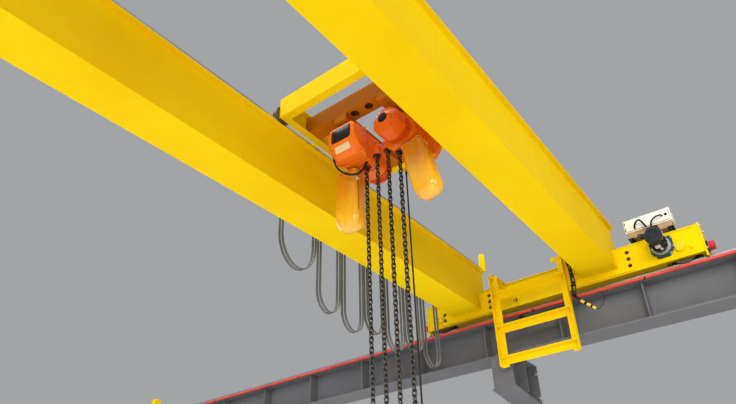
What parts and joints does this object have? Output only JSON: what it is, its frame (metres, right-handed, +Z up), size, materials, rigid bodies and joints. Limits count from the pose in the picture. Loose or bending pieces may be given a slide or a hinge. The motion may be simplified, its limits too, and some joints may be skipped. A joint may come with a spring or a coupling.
{
  "type": "overhead bridge crane",
  "caption": "Double girder overhead crane on end trucks and a runway, with a low trolley carrying two chain hoists between the girders.",
  "frame": {"origin": "centre of the column face of the far first runway bracket", "axes": "+X along the girders towards the far runway beam, +Y along the runway, +Z up"},
  "size_m": [11.34, 9.2, 3.1763],
  "materials": {
    "yellow_paint": "satin yellow gloss paint with light dust",
    "grey_paint": "dark grey primer on rolled steel",
    "rail_steel": "bright running surface",
    "red_housing": "red insulating housing",
    "zinc_steel": "zinc plated",
    "red_rubber": "red buffer rubber",
    "dark_paint": "dark grey machine enamel",
    "ivory_paint": "ivory powder coat",
    "carbon_black": "dark moulded insulator",
    "wheel_iron": "machined casting with a film of rust",
    "orange_enamel": "glossy orange enamel",
    "red_orange_enamel": "glossy red orange enamel",
    "amber_plastic": "amber moulded plastic",
    "black_chain": "black oxidised chain steel",
    "black_rubber": "cable sheath",
    "yellow_plastic": "moulded housing",
    "grey_rubber": "grey flat cable"
  },
  "bodies": {
    "runway": {"runway_beam_far": "grey_paint", "runway_beam_near": "grey_paint", "runway_rail_far": "rail_steel", "runway_rail_near": "rail_steel", "corbels_far": "grey_paint", "corbels_near": "grey_paint", "runway_end_stops": "yellow_paint", "conductor_bar": "red_housing", "conductor_hangers": "zinc_steel"},
    "bridge": {"left_girder": "yellow_paint", "right_girder": "yellow_paint", "end_truck_far": "yellow_paint", "end_truck_near": "yellow_paint", "joint_plates": "yellow_paint", "truck_buffers": "red_rubber", "trolley_rail_left": "rail_steel", "trolley_rail_right": "rail_steel", "trolley_end_stops": "yellow_paint", "travel_gearboxes": "dark_paint", "travel_motors": "dark_paint", "control_cabinet": "ivory_paint", "cabinet_legs": "dark_paint", "collector_frame": "yellow_paint", "collector_arm": "carbon_black", "festoon_track": "zinc_steel", "festoon_brackets": "yellow_paint"},
    "bridge_wheel_far_left": {"wheel_far_left": "wheel_iron"},
    "bridge_wheel_far_right": {"wheel_far_right": "wheel_iron"},
    "bridge_wheel_near_left": {"wheel_near_left": "wheel_iron"},
    "bridge_wheel_near_right": {"wheel_near_right": "wheel_iron"},
    "trolley": {"trolley_side_members": "yellow_paint", "trolley_front_beam": "yellow_paint", "trolley_rear_beam": "yellow_paint", "load_beams": "orange_enamel", "hoist_bearers": "orange_enamel", "trolley_drive": "dark_paint", "tow_arm": "yellow_paint", "hoist_casings": "orange_enamel", "control_boxes": "orange_enamel", "hoist_motors": "red_orange_enamel", "bucket_left": "amber_plastic", "bucket_right": "amber_plastic", "chain_flat_links": "black_chain", "chain_edge_links": "black_chain", "hook_block": "orange_enamel", "pendant_cable": "black_rubber", "pendant_station": "yellow_plastic", "festoon_cable": "grey_rubber"},
    "trolley_wheel_front_left": {"trolley_wheel_front_left": "wheel_iron"},
    "trolley_wheel_front_right": {"trolley_wheel_front_right": "wheel_iron"},
    "trolley_wheel_rear_left": {"trolley_wheel_rear_left": "wheel_iron"},
    "trolley_wheel_rear_right": {"trolley_wheel_rear_right": "wheel_iron"},
    "carrier_1": {"festoon_carrier_1": "zinc_steel"},
    "carrier_2": {"festoon_carrier_2": "zinc_steel"},
    "carrier_3": {"festoon_carrier_3": "zinc_steel"},
    "carrier_4": {"festoon_carrier_4": "zinc_steel"},
    "carrier_5": {"festoon_carrier_5": "zinc_steel"},
    "carrier_6": {"festoon_carrier_6": "zinc_steel"}
  },
  "joints": [
    {"name": "bridge_travel", "type": "slide", "parent": "runway", "child": "bridge", "axis": [0, 1, 0], "range_m": [-0.7, 5.12]},
    {"name": "trolley_travel", "type": "slide", "parent": "bridge", "child": "trolley", "axis": [1, 0, 0], "range_m": [-6.92, 1.64], "deforming": ["festoon_cable"]},
    {"name": "bridge_wheel_far_left_spin", "type": "hinge", "parent": "bridge", "child": "bridge_wheel_far_left", "pos_m": [-0.42, 0.695, 0.8233], "axis": [1, 0, 0], "range_deg": [-2360, 330]},
    {"name": "bridge_wheel_far_right_spin", "type": "hinge", "parent": "bridge", "child": "bridge_wheel_far_right", "pos_m": [-0.42, -1.9, 0.8233], "axis": [1, 0, 0], "range_deg": [-2360, 330]},
    {"name": "bridge_wheel_near_left_spin", "type": "hinge", "parent": "bridge", "child": "bridge_wheel_near_left", "pos_m": [-10.92, 0.695, 0.8233], "axis": [1, 0, 0], "range_deg": [-2360, 330]},
    {"name": "bridge_wheel_near_right_spin", "type": "hinge", "parent": "bridge", "child": "bridge_wheel_near_right", "pos_m": [-10.92, -1.9, 0.8233], "axis": [1, 0, 0], "range_deg": [-2360, 330]},
    {"name": "trolley_wheel_front_left_spin", "type": "hinge", "parent": "trolley", "child": "trolley_wheel_front_left", "pos_m": [-3.61, 0.2, 1.4283], "axis": [0, 1, 0], "range_deg": [-6110, 1460]},
    {"name": "trolley_wheel_front_right_spin", "type": "hinge", "parent": "trolley", "child": "trolley_wheel_front_right", "pos_m": [-3.61, -1, 1.4283], "axis": [0, 1, 0], "range_deg": [-6110, 1460]},
    {"name": "trolley_wheel_rear_left_spin", "type": "hinge", "parent": "trolley", "child": "trolley_wheel_rear_left", "pos_m": [-2.56, 0.2, 1.4283], "axis": [0, 1, 0], "range_deg": [-6110, 1460]},
    {"name": "trolley_wheel_rear_right_spin", "type": "hinge", "parent": "trolley", "child": "trolley_wheel_rear_right", "pos_m": [-2.56, -1, 1.4283], "axis": [0, 1, 0], "range_deg": [-6110, 1460]},
    {"name": "carrier_1_slide", "type": "slide", "parent": "bridge", "child": "carrier_1", "axis": [1, 0, 0], "range_m": [-5.933, 1.407]},
    {"name": "carrier_2_slide", "type": "slide", "parent": "bridge", "child": "carrier_2", "axis": [1, 0, 0], "range_m": [-4.944, 1.173]},
    {"name": "carrier_3_slide", "type": "slide", "parent": "bridge", "child": "carrier_3", "axis": [1, 0, 0], "range_m": [-3.956, 0.939]},
    {"name": "carrier_4_slide", "type": "slide", "parent": "bridge", "child": "carrier_4", "axis": [1, 0, 0], "range_m": [-2.967, 0.704]},
    {"name": "carrier_5_slide", "type": "slide", "parent": "bridge", "child": "carrier_5", "axis": [1, 0, 0], "range_m": [-1.979, 0.47]},
    {"name": "carrier_6_slide", "type": "slide", "parent": "bridge", "child": "carrier_6", "axis": [1, 0, 0], "range_m": [-0.99, 0.236]}
  ],
  "couplings": [
    {"joint": "bridge_wheel_far_left_spin", "follows": "bridge_travel", "rad_per_m": -8},
    {"joint": "bridge_wheel_far_right_spin", "follows": "bridge_travel", "rad_per_m": -8},
    {"joint": "bridge_wheel_near_left_spin", "follows": "bridge_travel", "rad_per_m": -8},
    {"joint": "bridge_wheel_near_right_spin", "follows": "bridge_travel", "rad_per_m": -8},
    {"joint": "trolley_wheel_front_left_spin", "follows": "trolley_travel", "rad_per_m": 15.385},
    {"joint": "trolley_wheel_front_right_spin", "follows": "trolley_travel", "rad_per_m": 15.385},
    {"joint": "trolley_wheel_rear_left_spin", "follows": "trolley_travel", "rad_per_m": 15.385},
    {"joint": "trolley_wheel_rear_right_spin", "follows": "trolley_travel", "rad_per_m": 15.385},
    {"joint": "carrier_1_slide", "follows": "trolley_travel", "ratio": 0.85714},
    {"joint": "carrier_2_slide", "follows": "trolley_travel", "ratio": 0.71429},
    {"joint": "carrier_3_slide", "follows": "trolley_travel", "ratio": 0.57143},
    {"joint": "carrier_4_slide", "follows": "trolley_travel", "ratio": 0.42857},
    {"joint": "carrier_5_slide", "follows": "trolley_travel", "ratio": 0.28571},
    {"joint": "carrier_6_slide", "follows": "trolley_travel", "ratio": 0.14286}
  ]
}
